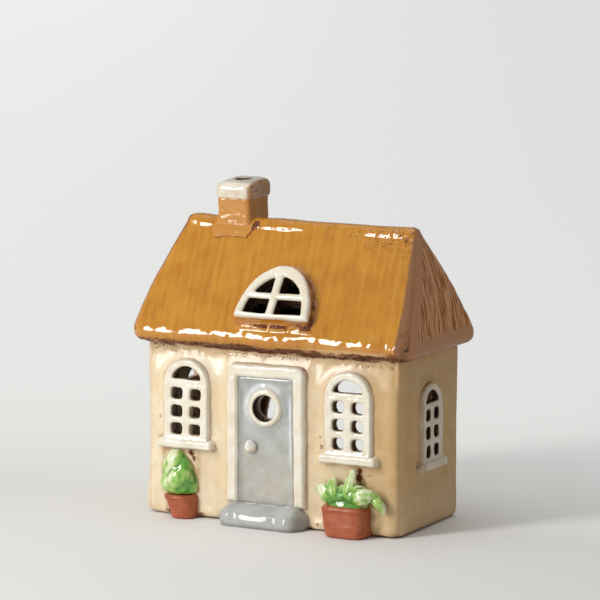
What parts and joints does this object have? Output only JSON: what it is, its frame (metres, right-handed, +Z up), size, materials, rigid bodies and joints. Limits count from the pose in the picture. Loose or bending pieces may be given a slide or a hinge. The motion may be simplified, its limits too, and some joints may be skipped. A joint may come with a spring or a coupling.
{
  "type": "house tea light holder",
  "caption": "Glazed pottery cottage that holds a tea light, with pierced windows and a chimney that let out light and warm air.",
  "frame": {"origin": "centre of the house's base, on the surface that it stands on", "axes": "+X along the ridge towards the wall to the right of the door, +Y from the door towards the open rear, +Z up"},
  "size_m": [0.1434, 0.0776, 0.1534],
  "materials": {
    "wall_glaze": "glossy beige glaze, brown where it breaks on edges",
    "roof_glaze": "glossy honey glaze over brushed ridges",
    "gable_glaze": "glossy red-brown glaze with vertical streaks",
    "cream_glaze": "glossy cream glaze with fine brown specks",
    "grey_glaze": "glossy blue-grey glaze, mottled",
    "terracotta": "unglazed red clay, satin",
    "leaf_glaze": "glossy green glaze, paler on edges"
  },
  "bodies": {
    "root": {"floor_slab": "wall_glaze", "front_wall": "wall_glaze", "rear_wall": "wall_glaze", "right_wall": "wall_glaze", "left_wall": "wall_glaze", "front_roof_slope": "roof_glaze", "rear_roof_slope": "roof_glaze", "right_gable": "gable_glaze", "left_gable": "gable_glaze", "dormer_window": "cream_glaze", "chimney_stack": "roof_glaze", "chimney_cap": "cream_glaze", "front_left_window": "cream_glaze", "front_left_sill": "cream_glaze", "front_right_window": "cream_glaze", "front_right_sill": "cream_glaze", "right_side_window": "cream_glaze", "right_side_sill": "cream_glaze", "left_side_window": "cream_glaze", "left_side_sill": "cream_glaze", "door_leaf": "grey_glaze", "door_frame": "cream_glaze", "porthole_ring": "cream_glaze", "door_knob": "cream_glaze", "doorstep": "grey_glaze", "flower_pot": "terracotta", "shrub": "leaf_glaze", "planter_trough": "terracotta", "fern": "leaf_glaze"}
  },
  "joints": []
}
